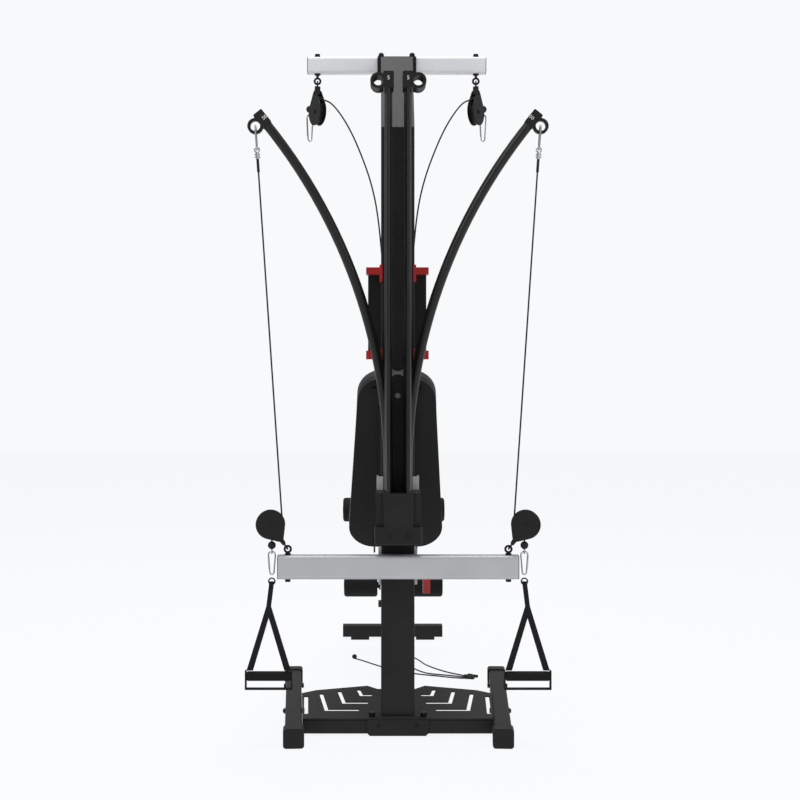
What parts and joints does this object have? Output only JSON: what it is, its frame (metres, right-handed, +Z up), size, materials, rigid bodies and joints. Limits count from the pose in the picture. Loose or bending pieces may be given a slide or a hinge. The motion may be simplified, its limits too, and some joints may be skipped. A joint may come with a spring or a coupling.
{
  "type": "home gym",
  "caption": "Home gym with a tower of flexible rods, upper and lower cable pulleys, hand grips, a seat rail with a padded backrest and a leg extension.",
  "frame": {"origin": "on the floor, at the centre of the footprint", "axes": "+Z up; -Y towards the rods, +Y towards the seat and the leg station; +X to the right as seen from the rods"},
  "size_m": [0.882, 1.6834, 2.0556],
  "materials": {
    "black_paint": "textured powder coat",
    "black_tread": "textured powder coat",
    "dark_bolts": "black oxide",
    "silver_paint": "silver powder coat",
    "zinc": "bright zinc plate",
    "rail_aluminium": "anodised",
    "black_plastic": "moulded",
    "grey_plastic": "moulded",
    "cap_plastic": "moulded",
    "red_plastic": "moulded",
    "rod_sheath": "smooth sheath",
    "foam": "closed-cell foam",
    "cable": "coated steel cable",
    "webbing": "woven nylon",
    "grey_vinyl": "grained vinyl"
  },
  "bodies": {
    "root": {"base_side_tubes": "black_paint", "base_shoes": "black_plastic", "base_cross_tube": "black_paint", "base_sleeve": "black_paint", "platform_plate": "black_tread", "frame_bolts": "dark_bolts", "tower_post": "black_paint", "tower_arm": "black_paint", "lat_bar_bracket": "black_paint", "lat_bar": "silver_paint", "chest_bar": "silver_paint", "bar_end_plugs": "black_plastic", "chest_bar_saddle": "black_paint", "eyebolts": "zinc", "rod_box": "black_paint", "rod_box_collar": "black_plastic", "side_brackets": "silver_paint", "rod_catch": "grey_plastic", "light_rods": "rod_sheath", "heavy_rods": "rod_sheath", "light_rod_caps": "cap_plastic", "heavy_rod_caps": "cap_plastic", "media_rack": "black_plastic", "rack_clips": "red_plastic", "seat_rail": "rail_aluminium", "front_leg": "black_paint", "roller_post": "black_paint", "floor_cables": "cable", "cable_clips": "black_plastic", "lat_block_left": "black_plastic", "lat_cable_left": "cable", "lat_block_right": "black_plastic", "lat_cable_right": "cable"},
    "rod_run_left": {"rod_hook_left": "zinc", "rod_cable_left": "cable", "chest_block_left": "black_plastic"},
    "chest_wheel_left": {"chest_sheave_left": "black_plastic"},
    "grip_left": {"grip_hook_left": "zinc", "grip_strap_left": "webbing", "grip_foam_left": "foam"},
    "lat_wheel_left": {"lat_sheave_left": "black_plastic"},
    "lat_clip_left": {"lat_hook_left": "zinc"},
    "rod_run_right": {"rod_hook_right": "zinc", "rod_cable_right": "cable", "chest_block_right": "black_plastic"},
    "chest_wheel_right": {"chest_sheave_right": "black_plastic"},
    "grip_right": {"grip_hook_right": "zinc", "grip_strap_right": "webbing", "grip_foam_right": "foam"},
    "lat_wheel_right": {"lat_sheave_right": "black_plastic"},
    "lat_clip_right": {"lat_hook_right": "zinc"},
    "upper_roll": {"upper_rollers": "foam"},
    "lower_roll": {"lower_rollers": "foam"},
    "leg_swing_arm": {"leg_arm": "black_paint"},
    "seat": {"seat_board": "black_plastic", "seat_cushion": "grey_vinyl"},
    "backrest": {"back_board": "black_plastic", "back_cushion": "grey_vinyl"},
    "knob": {"lock_knob": "black_plastic"},
    "lever": {"rail_lever": "red_plastic"}
  },
  "joints": [
    {"name": "rod_run_left_swivel", "type": "hinge", "parent": "root", "child": "rod_run_left", "pos_m": [-0.318, -0.753, 0.553], "axis": [-0.0785, 0.0301, 0.9965], "range_deg": [-5, 5]},
    {"name": "chest_wheel_left_spin", "type": "hinge", "parent": "rod_run_left", "child": "chest_wheel_left", "pos_m": [-0.368, -0.753, 0.624], "axis": [0, 1, 0], "continuous": true},
    {"name": "grip_left_swing", "type": "hinge", "parent": "rod_run_left", "child": "grip_left", "pos_m": [-0.364, -0.753, 0.546], "axis": [1, 0, 0], "range_deg": [-45, 45]},
    {"name": "lat_wheel_left_spin", "type": "hinge", "parent": "root", "child": "lat_wheel_left", "pos_m": [-0.246, -0.4295, 1.871], "axis": [-0.8854, -0.4648, 0], "continuous": true},
    {"name": "lat_clip_left_swing", "type": "hinge", "parent": "root", "child": "lat_clip_left", "pos_m": [-0.27203, -0.37992, 1.87], "axis": [-0.8854, -0.4648, 0], "range_deg": [-25, 25]},
    {"name": "rod_run_right_swivel", "type": "hinge", "parent": "root", "child": "rod_run_right", "pos_m": [0.318, -0.753, 0.553], "axis": [0.0785, 0.0301, 0.9965], "range_deg": [-5, 5]},
    {"name": "chest_wheel_right_spin", "type": "hinge", "parent": "rod_run_right", "child": "chest_wheel_right", "pos_m": [0.368, -0.753, 0.624], "axis": [0, 1, 0], "continuous": true},
    {"name": "grip_right_swing", "type": "hinge", "parent": "rod_run_right", "child": "grip_right", "pos_m": [0.364, -0.753, 0.546], "axis": [1, 0, 0], "range_deg": [-45, 45]},
    {"name": "lat_wheel_right_spin", "type": "hinge", "parent": "root", "child": "lat_wheel_right", "pos_m": [0.246, -0.4295, 1.871], "axis": [-0.8854, 0.4648, 0], "continuous": true},
    {"name": "lat_clip_right_swing", "type": "hinge", "parent": "root", "child": "lat_clip_right", "pos_m": [0.27203, -0.37992, 1.87], "axis": [-0.8854, 0.4648, 0], "range_deg": [-25, 25]},
    {"name": "upper_roll_spin", "type": "hinge", "parent": "root", "child": "upper_roll", "pos_m": [0, 0.424, 0.552], "axis": [1, 0, 0], "continuous": true},
    {"name": "leg_arm_swing", "type": "hinge", "parent": "root", "child": "leg_swing_arm", "pos_m": [0, 0.47, 0.41863], "axis": [1, 0, 0], "range_deg": [-5, 60]},
    {"name": "lower_roll_spin", "type": "hinge", "parent": "leg_swing_arm", "child": "lower_roll", "pos_m": [0, 0.576, 0.25], "axis": [1, 0, 0], "continuous": true},
    {"name": "seat_slide", "type": "slide", "parent": "root", "child": "seat", "axis": [0, 0.9986, -0.0523], "range_m": [0, 0.03]},
    {"name": "backrest_fold", "type": "hinge", "parent": "seat", "child": "backrest", "pos_m": [0, 0, 0.49], "axis": [1, 0, 0], "range_deg": [-50, 0]},
    {"name": "knob_pull", "type": "slide", "parent": "root", "child": "knob", "axis": [-1, 0, 0], "range_m": [0, 0.01], "stiffness_N_per_m": 400},
    {"name": "lever_turn", "type": "hinge", "parent": "root", "child": "lever", "pos_m": [0.06, -0.6, 0.462], "axis": [1, 0, 0], "range_deg": [-70, 70]}
  ]
}
